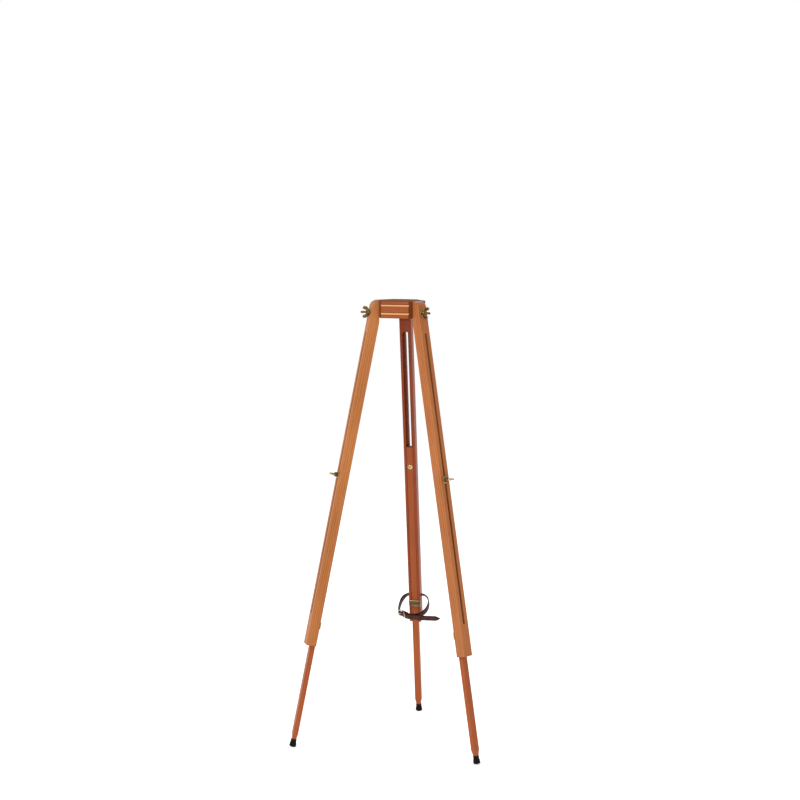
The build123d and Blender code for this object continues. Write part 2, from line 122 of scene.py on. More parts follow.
# Levels of the brass plate: inset across, inset up and down, and height.
PLATE_LEVELS = [
    (0.0, 0.0, 0.0), (0.0, 0.0, PLATE_THICKNESS - 0.45),
    (0.13, 0.13, PLATE_THICKNESS - 0.12), (0.45, 0.45, PLATE_THICKNESS),
    (6.6, 2.3, PLATE_THICKNESS), (6.9, 2.6, PLATE_THICKNESS - 0.1),
    (7.2, 2.9, PLATE_THICKNESS - 0.5), (7.6, 3.3, PLATE_THICKNESS - 0.6),
]
PLATE_CORNER = 1.5

LEG_TURNS = {"rear": 0.0, "left": 120.0, "right": 240.0}
WING_TURNS = {
    "head": {"rear": 20.0, "left": 84.0, "right": 78.0},
    "clamp": {"rear": 72.0, "left": 4.0, "right": -3.0},
}

# ---- colours, linear: light and dark wood, bright and tarnished metal ----------------
HEAD_BEECH = (0.31, 0.090, 0.027), (0.17, 0.041, 0.012)
LOWER_BEECH = (0.37, 0.088, 0.020), (0.22, 0.044, 0.010)
UPPER_BEECH = {
    # the rear upper leg is darker partly as painted shade, since it stands in shade behind
    # the head, and partly as its own wood tone
    "rear": ((0.295, 0.056, 0.014), (0.165, 0.028, 0.007)),
    "left": ((0.455, 0.165, 0.042), (0.265, 0.078, 0.019)),
    "right": ((0.435, 0.152, 0.045), (0.255, 0.073, 0.019)),
}
# painted highlight for the up-facing lower lips of the head's grooves
GROOVE_LIP_HIGHLIGHT = (0.80, 0.42, 0.19)
BEECH_BROWN = 0.42          # stains and flecks, as a share of the dark wood
NUT_BRASS = (0.27, 0.16, 0.055), (0.085, 0.046, 0.018)
BOLT_BRASS = (0.64, 0.47, 0.22), (0.26, 0.17, 0.08)
PLATE_BRASS = (0.86, 0.64, 0.32), (0.056, 0.025, 0.009)
PANEL_BRASS = (0.105, 0.046, 0.016), (0.060, 0.026, 0.009)
BUCKLE_BRASS = (0.58, 0.50, 0.34), (0.20, 0.16, 0.10)
STEEL = (0.58, 0.57, 0.55), (0.36, 0.34, 0.31)
RUBBER = (0.0020, 0.0019, 0.0020), (0.030, 0.028, 0.025)
LEATHER = (0.062, 0.0095, 0.0065), (0.026, 0.0055, 0.004)
LEATHER_SCUFF = (0.115, 0.030, 0.020)
LEATHER_EDGE = (0.010, 0.006, 0.006)
FLOOR = (0.86, 0.86, 0.858), (0.84, 0.84, 0.838)

# ---- figure of the beech ------------------------------------------------------------
# Waves and noises per metre, how far each is stretched along the grain, and their shares
# of the tone.
RINGS = {
    "Scale": 105.0, "Distortion": 5.0, "Detail": 3.0, "Detail Scale": 0.35,
    "Detail Roughness": 0.6,
}
RING_CENTRE = (0.045, 0.09, 0)      # heart of the tree, beside the piece
RING_STRETCH, FIBRE_STRETCH, FLECK_STRETCH, BROAD_STRETCH = 0.10, 0.022, 0.16, 0.25
FIBRE_SCALE, FLECK_SCALE, BROAD_SCALE, STAIN_SCALE = 1100.0, 2100.0, 22.0, 60.0
RING_SHARE, FIBRE_SHARE, BROAD_SHARE = 0.24, 0.55, 0.45
# The third and fourth shares here are the painted highlight on the head's groove lips and
# the painted shade on its top.
FLECK_SHARE, END_GRAIN_SHARE, LIP_HIGHLIGHT_SHARE, TOP_SHADE_SHARE = 0.42, 0.55, 0.8, 0.6
WOOD_GLOSS, HEAD_GLOSS = (0.36, 0.56), (0.64, 0.86)     # roughness from and to
WOOD_SPECULAR, HEAD_SPECULAR = 0.18, 0.07

# ---- camera and lights, metres, degrees and watts -----------------------------------
CAMERA_PLACE = (0.96947, -4.15837, 1.32121)
CAMERA_TURNS = (-16.41, -5.22, 0.23)    # yaw, pitch and roll
CAMERA_LENS, CAMERA_SENSOR = 78.13, 36.0
CAMERA_SHIFT = (0.125, -0.0375)
LIGHT_AIM = (0, 0, 0.6)
LIGHTS = {
    "key": ((-1.6, -2.6, 3.4), 1.2, 95),
    "fill": ((3.0, -2.4, 2.0), 2.2, 24),
    "back": ((0.6, 3.2, 2.8), 1.8, 26),
}
WORLD_LIGHT = 0.70          # strength of the white surroundings as light
FLOOR_GLOW = 0.40

# ---- course of the strap ------------------------------------------------------------
# In the plane of its loop, from the buckle's middle bar round the leg and back through
# the buckle to the loose end.
STRAP_BACK = -(STRAP_THICKNESS / 2 + STRAP_GAP) / cos(STRAP_DROOP)
STRAP_COURSE = [
    (-21.9, 65.9), (-12.0, 70.6), (2.0, 72.5), (16.0, 69.6), (28.0, 60.3), (35.5, 46.0),
    (37.3, 30.0), (31.0, 9.5), (17.0, STRAP_BACK), (9.0, STRAP_BACK), (0.0, STRAP_BACK),
    (-9.0, STRAP_BACK), (-17.0, STRAP_BACK), (-31.0, 9.5), (-37.0, 30.0), (-37.4, 50.0),
    (-34.2, 63.3), (-25.5, 68.5), (-16.2, 73.7), (0.0, 76.9), (22.0, 77.2), (48.0, 76.3),
    (76.0, 75.0),
]


# ---- places -------------------------------------------------------------------------
def side_turn(side):
    """Carries what is drawn at the rear round to its own leg."""
    return Matrix.Rotation(radians(LEG_TURNS[side]), 4, "Z")


def leg_place(side, x=0.0, y=0.0, drop=0.0):
    """The leg's own frame: +Y out of its outer face, -Z down the leg."""
    corner = Matrix.Translation((0, LEG_TOP_OUTER, HEAD_TOP))
    tilt = Matrix.Rotation(LEG_TILT, 4, "X")
    return side_turn(side) @ corner @ tilt @ Matrix.Translation((x, y, -drop))


def outward(place):
    """The same place with +Z turned to point out of the leg."""
    return place @ Matrix.Rotation(radians(-90), 4, "X")


def head_seat(side):
    """Seat of a head washer, +Y outward."""
    return side_turn(side) @ Matrix.Translation((0, SEAT_OUTER, HEAD_BOLT_Z))


def from_axes(origin, x_axis, y_axis, z_axis):
    """Matrix with the given origin and axes."""
    place = Matrix((x_axis, y_axis, z_axis)).transposed().to_4x4()
    place.translation = origin
    return place


LOOP = leg_place("rear", drop=STRAP_DROP) @ from_axes(
    (0, 0, 0),
    (1, 0, 0),
    (0, -cos(STRAP_DROOP), -sin(STRAP_DROOP)),
    (0, sin(STRAP_DROOP), -cos(STRAP_DROOP)),
)
BUCKLE = (
    LOOP
    @ Matrix.Translation((*BUCKLE_PLACE, 0))
    @ Matrix.Rotation(BUCKLE_TURN, 4, "Z")
)


# ---- mesh tools ---------------------------------------------------------------------
def skin(bm, rings, closed=False):
    """Join rings of equal length with faces, and cap the ends of an open run."""
    loops = [[bm.verts.new(point) for point in ring] for ring in rings]
    pairs = list(zip(loops, loops[1:] + loops[:1]))
    for first, second in pairs if closed else pairs[:-1]:
        for index in range(len(first)):
            after = (index + 1) % len(first)
            bm.faces.new((first[index], first[after], second[after], second[index]))
    if not closed:
        for loop in (loops[0], loops[-1]):
            middle = bm.verts.new(sum((v.co for v in loop), Vector()) / len(loop))
            for index in range(len(loop)):
                bm.faces.new((loop[index], loop[(index + 1) % len(loop)], middle))


def circle(radius, height, count=48):
    """Ring of points about Z."""
    return [
        (radius * cos(2 * pi * step / count), radius * sin(2 * pi * step / count), height)
        for step in range(count)
    ]


def lathe(bm, profile, closed=False, count=48):
    """Revolve (radius, height) points about Z."""
    skin(bm, [circle(radius, height, count) for radius, height in profile], closed)


def softened(points, radius, closed=False, steps=4):
    """The same outline with its corners rounded."""
    result = []
    last = len(points) - 1
    for index, point in enumerate(points):
        if not closed and index in (0, last):
            result.append(point)
            continue
        here = Vector(point)
        before = Vector(points[index - 1]) - here
        after = Vector(points[(index + 1) % len(points)]) - here
        reach = min(radius, before.length * 0.45, after.length * 0.45)
        start, end = here + before.normalized() * reach, here + after.normalized() * reach
        for step in range(steps + 1):
            t = step / steps
            curve = start * (1 - t) ** 2 + here * 2 * t * (1 - t) + end * t * t
            result.append(tuple(curve))
    return result


def rounded_rectangle(width, height, radius, steps=4):
    """Outline of a rectangle about the origin with rounded corners."""
    x, y = width / 2, height / 2
    return softened([(-x, -y), (x, -y), (x, y), (-x, y)], radius, True, steps)


def smooth_course(points, count):
    """Points along the natural cubic curve through the given ones."""
    knots = np.array(points, float)
    chords = np.linalg.norm(np.diff(knots, axis=0), axis=1)
    at = np.concatenate([[0.0], np.cumsum(chords)])
    size = len(knots)
    system = np.eye(size)
    slopes = np.diff(knots, axis=0) / chords[:, None]
    target = np.zeros_like(knots)
    for row in range(1, size - 1):
        before, after = chords[row - 1], chords[row]
        system[row, row - 1 : row + 2] = before, 2 * (before + after), after
        target[row] = 6 * (slopes[row] - slopes[row - 1])
    bends = np.linalg.solve(system, target)
    wanted = np.linspace(0, at[-1], count)
    span = np.clip(np.searchsorted(at, wanted, side="right") - 1, 0, size - 2)
    width, left, right = chords[span], wanted - at[span], at[span + 1] - wanted
    width, left, right = width[:, None], left[:, None], right[:, None]
    curve = (bends[span] * right**3 + bends[span + 1] * left**3) / (6 * width)
    curve += (knots[span] / width - bends[span] * width / 6) * right
    curve += (knots[span + 1] / width - bends[span + 1] * width / 6) * left
    return [tuple(point) for point in curve]


def evaluated(obj):
    """The object's mesh with its modifiers applied; the object itself is removed."""
    graph = bpy.context.evaluated_depsgraph_get()
    mesh = bpy.data.meshes.new_from_object(obj.evaluated_get(graph))
    bpy.data.objects.remove(obj)
    return mesh


def finished(name, bm):
    """The bmesh as a mesh with its normals facing out; the bmesh is freed."""
    bmesh.ops.recalc_face_normals(bm, faces=bm.faces)
    mesh = bpy.data.meshes.new(name)
    bm.to_mesh(mesh)
    bm.free()
    return mesh


def loose_object(name, bm):
    """An object in the scene that holds a finished bmesh."""
    obj = bpy.data.objects.new(name, finished(name, bm))
    bpy.context.scene.collection.objects.link(obj)
    return obj


def carved(bm, cutter):
    """The mesh of bm with the cutter's closed forms cut out of it. The strap crosses
    itself at its fold, so the cut allows for that."""
    obj, tool = loose_object("stock", bm), loose_object("tool", cutter)
    cut = obj.modifiers.new("cut", "BOOLEAN")
    cut.operation, cut.solver, cut.object = "DIFFERENCE", "EXACT", tool
    cut.use_self = True
    mesh = evaluated(obj)
    bpy.data.objects.remove(tool)
    return mesh


def box_in(bm, place, size):
    """Add a box centred on the place."""
    bmesh.ops.create_cube(bm, size=1.0, matrix=place @ Matrix.Diagonal((*size, 1.0)))


def rod_in(bm, place, radius, length, count=40):
    """Add a rod centred on the place, along its Z axis."""
    bmesh.ops.create_cone(
        bm, cap_ends=True, segments=count, radius1=radius, radius2=radius,
        depth=length, matrix=place,
    )


def add_piece(name, shape, place, material, body, node, sharp=CUT_EDGES):
    """Set a shape drawn in millimetres into the frame, in the place of a CAD node. Edges
    that turn by more than the sharp angle are not smoothed."""
    if isinstance(shape, bmesh.types.BMesh):
        mesh = finished(name, shape)
    else:
        mesh = shape.copy()
    mesh.transform(Matrix.Scale(MM, 4) @ place)
    for polygon in mesh.polygons:
        polygon.use_smooth = True
    mesh.set_sharp_from_angle(angle=radians(sharp))
    mesh.materials.clear()
    mesh.materials.append(material)
    piece = bpy.data.objects.new(name, mesh)
    bpy.context.scene.collection.objects.link(piece)
    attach(piece, body)
    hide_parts(node)
    return piece


# ---- materials ----------------------------------------------------------------------
class Shader:
    """A material under construction: adds nodes and joins them."""

    def __init__(self, name):
        self.material = bpy.data.materials.new(name)
        self.material.use_nodes = True
        self.tree = self.material.node_tree
        self.surface = self.tree.nodes["Principled BSDF"]
        self.place = self.add("ShaderNodeTexCoord").outputs["Object"]

    def add(self, kind, **settings):
        """A new node of this kind, with its settings."""
        node = self.tree.nodes.new(kind)
        for key, value in settings.items():
            setattr(node, key, value)
        return node

    def join(self, output, socket):
        """Link an output to an input socket."""
        self.tree.links.new(output, socket)

    def feed(self, node, values):
        """Give input sockets a number, a colour or another node's output."""
        for key, value in values.items():
            if isinstance(value, bpy.types.NodeSocket):
                self.join(value, node.inputs[key])
            else:
                node.inputs[key].default_value = value
        return node

    def moved(self, location=(0, 0, 0), rotation=(0, 0, 0), scale=(1, 1, 1), source=None,
              kind="POINT"):
        """Coordinates that are moved, turned and scaled."""
        node = self.add("ShaderNodeMapping", vector_type=kind)
        values = {"Vector": source or self.place, "Location": location}
        values.update({"Rotation": rotation, "Scale": scale})
        return self.feed(node, values).outputs[0]

    def noise(self, where, scale, detail=4.0, roughness=0.55, distortion=0.0):
        """Cloudy values from 0 to 1."""
        node = self.add("ShaderNodeTexNoise")
        values = {"Vector": where, "Scale": scale, "Detail": detail}
        values.update({"Roughness": roughness, "Distortion": distortion})
        return self.feed(node, values).outputs["Fac"]

    def ramp(self, value, low, high, start=0.0, end=1.0):
        """Soft step from start to end while the value goes from low to high."""
        node = self.add("ShaderNodeMapRange", interpolation_type="SMOOTHSTEP")
        values = {"Value": value, "From Min": low, "From Max": high}
        values.update({"To Min": start, "To Max": end})
        return self.feed(node, values).outputs[0]

    def math(self, operation, first, second=0.0):
        """Sum, product or other operation on two values."""
        node = self.add("ShaderNodeMath", operation=operation)
        return self.feed(node, {0: first, 1: second}).outputs[0]

    def mix(self, share, first, second):
        """Colour between two others; each may be plain or another node's output."""
        node = self.add("ShaderNodeMix", data_type="RGBA")
        sockets = {"Factor": share, "A": first, "B": second}
        for key, value in sockets.items():
            socket = next(
                s for s in node.inputs
                if s.name == key and s.type == ("VALUE" if key == "Factor" else "RGBA")
            )
            if isinstance(value, bpy.types.NodeSocket):
                self.join(value, socket)
            elif key == "Factor":
                socket.default_value = value
            else:
                socket.default_value = (*value, 1.0)
        return next(s for s in node.outputs if s.type == "RGBA")

    def edges(self, radius):
        """1 along worn or dirty edges and 0 on flat faces, and the softened normal."""
        bevel = self.feed(self.add("ShaderNodeBevel", samples=6), {"Radius": radius})
        true_normal = self.add("ShaderNodeNewGeometry").outputs["Normal"]
        dot = self.add("ShaderNodeVectorMath", operation="DOT_PRODUCT")
        self.join(bevel.outputs[0], dot.inputs[0])
        self.join(true_normal, dot.inputs[1])
        return self.ramp(dot.outputs["Value"], 0.99, 0.80), bevel.outputs[0]

    def bump(self, height, strength, distance, normal=None):
        """Normal with fine relief; the distance is in metres."""
        node = self.add("ShaderNodeBump")
        values = {"Height": height, "Strength": strength, "Distance": distance}
        if normal is not None:
            values["Normal"] = normal
        return self.feed(node, values).outputs[0]

    def finish(self, **values):
        """Feed the surface and return the material."""
        names = {key.replace("_", " "): value for key, value in values.items()}
        self.feed(self.surface, names)
        return self.material


def head_painted_light(shader, colour, brown):
    """Painted highlight on the up-facing lower lips of the head's grooves, and painted
    shade on its top.
    """
    normal, place = (shader.add("ShaderNodeSeparateXYZ") for _ in range(2))
    geometry = shader.add("ShaderNodeNewGeometry")
    shader.join(geometry.outputs["True Normal"], normal.inputs[0])
    shader.join(shader.place, place.inputs[0])
    upward = shader.ramp(normal.outputs["Z"], 0.45, 0.60)
    below = shader.ramp(place.outputs["Z"], HEAD_TOP * MM - 0.003, HEAD_TOP * MM - 0.005)
    # painted highlight: up-facing faces just below the head's top are made paler
    lips = shader.math("MULTIPLY", shader.math("MULTIPLY", upward, below), LIP_HIGHLIGHT_SHARE)
    colour = shader.mix(lips, colour, GROOVE_LIP_HIGHLIGHT)
    # painted shade: the head's up-facing top is darkened towards the brown wood
    painted_top_shade = shader.math("MULTIPLY", upward, shader.math("SUBTRACT", 1.0, below))
    return shader.mix(shader.math("MULTIPLY", painted_top_shade, TOP_SHADE_SHARE), colour, brown)


def wood(name, place, light, dark, seed, head=False):
    """Oiled beech with its grain along the place's Z axis."""
    shader = Shader(name)
    own = shader.moved(
        [value * MM for value in place.translation],
        place.to_euler("XYZ"), source=shader.place, kind="TEXTURE",
    )
    own = shader.moved(location=(seed * 0.37, seed * 0.21, seed * 0.53), source=own)

    def stretched(amount, location=(0, 0, 0)):
        """The piece's own coordinates, drawn out along the grain."""
        return shader.moved(location=location, scale=(1, 1, amount), source=own)

    rings = shader.add("ShaderNodeTexWave", wave_type="RINGS", rings_direction="Z")
    shader.feed(rings, {"Vector": stretched(RING_STRETCH, RING_CENTRE), **RINGS})
    fibres = shader.noise(stretched(FIBRE_STRETCH), FIBRE_SCALE, 5.0, 0.65)
    flecks = shader.noise(stretched(FLECK_STRETCH), FLECK_SCALE, 2.0, 0.5)
    flecks = shader.ramp(flecks, 0.60, 0.70)
    broad = shader.noise(stretched(BROAD_STRETCH), BROAD_SCALE, 3.0, 0.6)
    tone = shader.math("MULTIPLY", rings.outputs["Fac"], RING_SHARE)
    tone = shader.math("ADD", tone, shader.math("MULTIPLY", fibres, FIBRE_SHARE))
    tone = shader.math("ADD", tone, shader.math("MULTIPLY", broad, BROAD_SHARE))
    tone = shader.ramp(tone, 0.35, 0.98)
    colour = shader.mix(tone, light, dark)
    brown = tuple(value * BEECH_BROWN for value in dark)
    colour = shader.mix(shader.math("MULTIPLY", flecks, FLECK_SHARE), colour, brown)

    along = shader.add("ShaderNodeVectorMath", operation="DOT_PRODUCT")
    shader.join(shader.add("ShaderNodeNewGeometry").outputs["Normal"], along.inputs[0])
    along.inputs[1].default_value = (place.to_3x3() @ Vector((0, 0, 1))).normalized()
    end_grain = shader.ramp(shader.math("ABSOLUTE", along.outputs["Value"]), 0.35, 0.85)
    colour = shader.mix(shader.math("MULTIPLY", end_grain, END_GRAIN_SHARE), colour, brown)
    edge, normal = shader.edges(0.0011)
    stain = shader.ramp(shader.noise(own, STAIN_SCALE, 3.0), 0.35, 0.65, 0.25, 0.75)
    colour = shader.mix(shader.math("MULTIPLY", edge, stain), colour, brown)

    if head:
        colour = head_painted_light(shader, colour, brown)
    gloss = HEAD_GLOSS if head else WOOD_GLOSS
    rough = shader.ramp(shader.math("ADD", fibres, flecks), 0.3, 1.3, *gloss)
    relief = shader.math("SUBTRACT", fibres, shader.math("MULTIPLY", flecks, 0.7))
    return shader.finish(
        Base_Color=colour, Roughness=rough,
        Specular_IOR_Level=HEAD_SPECULAR if head else WOOD_SPECULAR,
        Normal=shader.bump(relief, 0.35, 0.00022, normal),
    )


def brass(name, bright, brown, tarnish, worn=0.0007, gloss=(0.24, 0.58)):
    """Aged brass: brown in its hollows, polished on edges within the worn distance."""
    shader = Shader(name)
    clouds = shader.noise(shader.place, 330.0, 6.0, 0.65, 0.4)
    pits = shader.noise(shader.place, 1500.0, 3.0, 0.6)
    edge, normal = shader.edges(worn)
    patina = shader.ramp(clouds, 0.58 - tarnish / 3, 0.72 - tarnish / 3, 0.15, 0.85)
    patina = shader.math("MULTIPLY", patina, shader.ramp(edge, 0.0, 1.0, 1.0, 0.25))
    colour = shader.mix(patina, bright, brown)
    spots = shader.ramp(pits, 0.62, 0.75, 0.0, 0.6)
    colour = shader.mix(spots, colour, tuple(value * 0.4 for value in brown))
    rough = shader.ramp(shader.math("ADD", patina, spots), 0.0, 1.2, *gloss)
    return shader.finish(
        Base_Color=colour, Metallic=1.0, Roughness=rough,
        Normal=shader.bump(pits, 0.25, 0.00012, normal),
    )


def steel():
    """Plain turned steel with fine turning marks and a trace of oil."""
    shader = Shader("turned steel")
    marks = shader.noise(shader.moved(scale=(1, 1, 40)), 160.0, 4.0, 0.6)
    oil = shader.ramp(shader.noise(shader.place, 240.0), 0.4, 0.65)
    colour = shader.mix(oil, *STEEL)
    return shader.finish(
        Base_Color=colour, Metallic=1.0, Roughness=shader.ramp(marks, 0.3, 0.7, 0.25, 0.5),
        Normal=shader.bump(marks, 0.2, 0.0001),
    )


def rubber():
    """Moulded black rubber, dusty and scuffed near the floor."""
    shader = Shader("black rubber")
    grain = shader.noise(shader.place, 2600.0, 3.0, 0.6)
    dust = shader.ramp(shader.noise(shader.place, 420.0, 5.0, 0.7), 0.48, 0.74)
    height = shader.add("ShaderNodeSeparateXYZ")
    shader.join(shader.place, height.inputs[0])
    low = shader.ramp(height.outputs["Z"], 0.010, 0.0, 0.05, 0.8)
    edge, normal = shader.edges(0.0008)
    worn = shader.math("MULTIPLY", shader.math("ADD", dust, edge), low)
    colour = shader.mix(shader.math("MULTIPLY", worn, 0.6), *RUBBER)
    return shader.finish(
        Base_Color=colour, Roughness=shader.ramp(dust, 0.0, 1.0, 0.52, 0.85),
        Specular_IOR_Level=0.10,
        Normal=shader.bump(grain, 0.3, 0.0001, normal),
    )


def leather():
    """Dark burgundy-brown belt leather with black burnished edges."""
    shader = Shader("dark leather")
    cells = shader.feed(
        shader.add("ShaderNodeTexVoronoi", feature="DISTANCE_TO_EDGE"),
        {"Vector": shader.place, "Scale": 1300.0},
    ).outputs["Distance"]
    pebbles = shader.ramp(cells, 0.0, 0.22)
    creases = shader.noise(shader.place, 260.0, 5.0, 0.7, 1.2)
    clouds = shader.noise(shader.place, 70.0, 3.0)
    edge, normal = shader.edges(0.0013)
    colour = shader.mix(shader.ramp(clouds, 0.35, 0.68), *LEATHER)
    scuffs = shader.ramp(creases, 0.60, 0.72, 0.0, 0.5)
    colour = shader.mix(scuffs, colour, LEATHER_SCUFF)
    colour = shader.mix(shader.math("MULTIPLY", edge, 0.8), colour, LEATHER_EDGE)
    relief = shader.math("ADD", pebbles, shader.math("MULTIPLY", creases, 1.5))
    return shader.finish(
        Base_Color=colour, Roughness=shader.ramp(creases, 0.35, 0.7, 0.40, 0.62),
        Specular_IOR_Level=0.14,
        Normal=shader.bump(relief, 0.45, 0.00016, normal),
    )


def paint_frame(metal, dull_steel):
    """Give the CAD nodes that stay their materials, each wood with a seed of its own."""
    level = Matrix.Rotation(radians(90), 4, "Y") @ Matrix.Rotation(radians(60), 4, "Z")
    head = wood("beech head", level, *HEAD_BEECH, 1, True)
    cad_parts["head_block"].data.materials[0] = head
    for number, (side, beech) in enumerate(UPPER_BEECH.items()):
        upper = wood(f"beech upper {side}", leg_place(side), *beech, 2 + number)
        lower = wood(f"beech lower {side}", leg_place(side), *LOWER_BEECH, 5 + number)
        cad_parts[f"upper_leg_{side}"].data.materials[0] = upper
        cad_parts[f"lower_leg_{side}"].data.materials[0] = lower
        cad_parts[f"ball_nut_{side}"].data.materials[0] = dull_steel


# ---- hardware -----------------------------------------------------------------------
def threaded_rod(bm, start, plain_end, tip, count=36):
    """Rod along Z: plain up to plain_end, then a cut thread up to its chamfered tip."""
    rings = [circle(BOLT_RADIUS, start, count), circle(BOLT_RADIUS, plain_end, count)]
    steps = int((tip - plain_end) / THREAD_PITCH * 8)
    for step in range(1, steps + 1):
        height = plain_end + (tip - plain_end) * step / steps
        fade = min((height - plain_end) / THREAD_PITCH, 1.0)
        ring = []
        for index in range(count):
            phase = (height / THREAD_PITCH - index / count) % 1.0
            cut = THREAD_DEPTH * fade * (0.5 + 0.5 * cos(2 * pi * phase)) ** 0.8
            radius = min(BOLT_RADIUS - 0.02 - cut, BOLT_RADIUS - 0.7 + (tip - height))
            angle = 2 * pi * index / count
            ring.append((radius * cos(angle), radius * sin(angle), height))
        rings.append(ring)
    skin(bm, rings)


def wing_nut_mesh():
    """Cast wing nut along +Z: a conical hub that flows into two upright ears."""
    bm = bmesh.new()
    lathe(bm, softened(NUT_HUB, 0.7))
    outline = smooth_course(NUT_EAR, 48)
    middle = Vector(NUT_EAR_MIDDLE)
    for turn in (0, pi):
        rings = []
        for side, inset in NUT_EAR_ROUNDING:
            ring = []
            for x, z in outline:
                edge = middle + (Vector((x, z)) - middle) * inset
                thick = 1.9 - 0.045 * x
                point = Vector((edge.x, side * thick, edge.y))
                ring.append(Matrix.Rotation(turn, 3, "Z") @ point)
            rings.append(ring)
        skin(bm, rings)
    stock = loose_object("wing_nut_stock", bm)
    remesh = stock.modifiers.new("flow", "REMESH")
    remesh.mode, remesh.voxel_size = "VOXEL", NUT_VOXEL
    smooth = stock.modifiers.new("polish", "SMOOTH")
    smooth.factor, smooth.iterations = 0.5, 7
    cast = bmesh.new()
    flowing = evaluated(stock)
    cast.from_mesh(flowing)
    bpy.data.meshes.remove(flowing)
    bore = bmesh.new()
    rod_in(bore, Matrix.Translation((0, 0, 5)), NUT_BORE, 24.0)
    return carved(cast, bore)


def washer_shape():
    """Flat washer on +Z with softened edges."""
    bm = bmesh.new()
    outline = [(WASHER_BORE, 0), (WASHER_RADIUS, 0), (WASHER_RADIUS, WASHER_THICKNESS),
               (WASHER_BORE, WASHER_THICKNESS)]
    lathe(bm, softened(outline, 0.4, True), closed=True, count=64)
    return bm


def domed_head(bm, radius, height, base):
    """Round screw head on Z: its dome starts at base and rises by height."""
    sphere = (radius**2 + height**2) / (2 * height)
    profile = [(0.3, base), (radius, base), (radius, base + 0.25)]
    for step in range(1, 13):
        r = radius * (1 - step / 13) + 0.05
        profile.append((r, base + height - sphere + sqrt(sphere**2 - r * r) + 0.02))
    lathe(bm, profile)


def clamp_bolt_shape():
    """Slotted round-head bolt along Z, its head inside the leg and its tip outside."""
    seat = LOWER_Y - LOWER_DEPTH / 2
    bm = bmesh.new()
    threaded_rod(bm, seat - 0.5, -1.0, CLAMP_BOLT_TIP)
    head = bmesh.new()
    domed_head(head, CLAMP_HEAD_RADIUS, CLAMP_HEAD_HEIGHT, 0.0)
    slot = bmesh.new()
    box_in(slot, Matrix.Translation((0, 0, CLAMP_HEAD_HEIGHT)), CLAMP_SLOT)
    cut = carved(head, slot)
    cut.transform(Matrix.Translation((0, 0, seat)) @ Matrix.Rotation(pi, 4, "X"))
    bm.from_mesh(cut)
    return bm


def plate_shape():
    """Brass plate on +Z with a rounded rim and a pressed panel in its middle."""
    bm = bmesh.new()
    rings = []
    for inset_x, inset_y, height in PLATE_LEVELS:
        width, tall = LEG_WIDTH - 2 * inset_x, PLATE_HEIGHT - 2 * inset_y
        outline = rounded_rectangle(width, tall, PLATE_CORNER, 5)
        rings.append([(x, y, height) for x, y in outline])
    skin(bm, rings)
    for face in bm.faces:
        middle = face.calc_center_median()
        inside = abs(middle.x) < PANEL_HALF[0] and abs(middle.y) < PANEL_HALF[1]
        face.material_index = int(inside and middle.z > PLATE_THICKNESS / 2)
    return bm


def slotted_screw(radius, height, shank, turn):
    """Slotted screw with a domed head on +Z."""
    head, slot = bmesh.new(), bmesh.new()
    domed_head(head, radius, height, 0.0)
    across = Matrix.Translation((0, 0, height)) @ Matrix.Rotation(turn, 4, "Z")
    box_in(slot, across, (4 * radius, radius * 0.24, height * 1.1))
    bm = bmesh.new()
    bm.from_mesh(carved(head, slot))
    lathe(bm, [(radius * 0.5, -shank), (radius * 0.55, -shank + 0.6), (radius * 0.55, 0.1)])
    return bm


def plate_screws_shape():
    """The two screws of a brass plate, their slots at different angles."""
    bm = bmesh.new()
    for x, turn in zip((-PLATE_SCREW_OFFSET, PLATE_SCREW_OFFSET), PLATE_SCREW_TURNS):
        screw = slotted_screw(*PLATE_SCREW, turn)
        screw.transform(Matrix.Translation((x, 0, -0.1)))
        mesh = bpy.data.meshes.new("screw")
        screw.to_mesh(mesh)
        screw.free()
        bm.from_mesh(mesh)
        bpy.data.meshes.remove(mesh)
    return bm


def foot_shape():
    """Rubber foot along -Z: lipped mouth, ribbed skirt and a ringed domed sole."""
    drop = (HEAD_TOP - FOOT_DOME + LOWER_Y * sin(LEG_TILT)) / cos(LEG_TILT)
    edge = drop + sqrt(FOOT_DOME**2 - FOOT_RADIUS**2)
    bm = bmesh.new()
    wall = [
        (SPIGOT_RADIUS, FOOT_TOP + 11.0), (SPIGOT_RADIUS, FOOT_TOP + 0.6),
        (FOOT_NECK - 1.0, FOOT_TOP), (FOOT_NECK, FOOT_TOP + 0.1),
        (FOOT_NECK + 0.25, FOOT_TOP + 1.6), (FOOT_NECK - 0.25, FOOT_TOP + 2.4),
        (FOOT_NECK - 0.1, FOOT_TOP + 6.2), (FOOT_RADIUS - 0.2, FOOT_TOP + 11.2),
        (FOOT_RADIUS, FOOT_TOP + 12.4), (FOOT_RADIUS - 0.5, FOOT_TOP + 13.1),
        (FOOT_RADIUS - 0.5, FOOT_TOP + 13.7), (FOOT_RADIUS, FOOT_TOP + 14.4),
        (FOOT_RADIUS, edge - 0.8), (FOOT_RADIUS - 0.9, edge + 0.25),
    ]
    profile = softened(wall, 0.4, steps=3)
    for step in range(1, 30):
        radius = (FOOT_RADIUS - 0.9) * (1 - step / 30)
        groove = 0.35 * max(0.0, sin(2 * pi * radius / 2.4)) ** 2
        profile.append((radius, drop + sqrt(FOOT_DOME**2 - radius**2) - groove))
    lathe(bm, [(radius, -height) for radius, height in profile], count=64)
    return bm


# ---- strap and buckle ---------------------------------------------------------------
def smoothed(share):
    """0 up to 1 with a soft start and end."""
    share = min(max(share, 0.0), 1.0)
    return share * share * (3 - 2 * share)


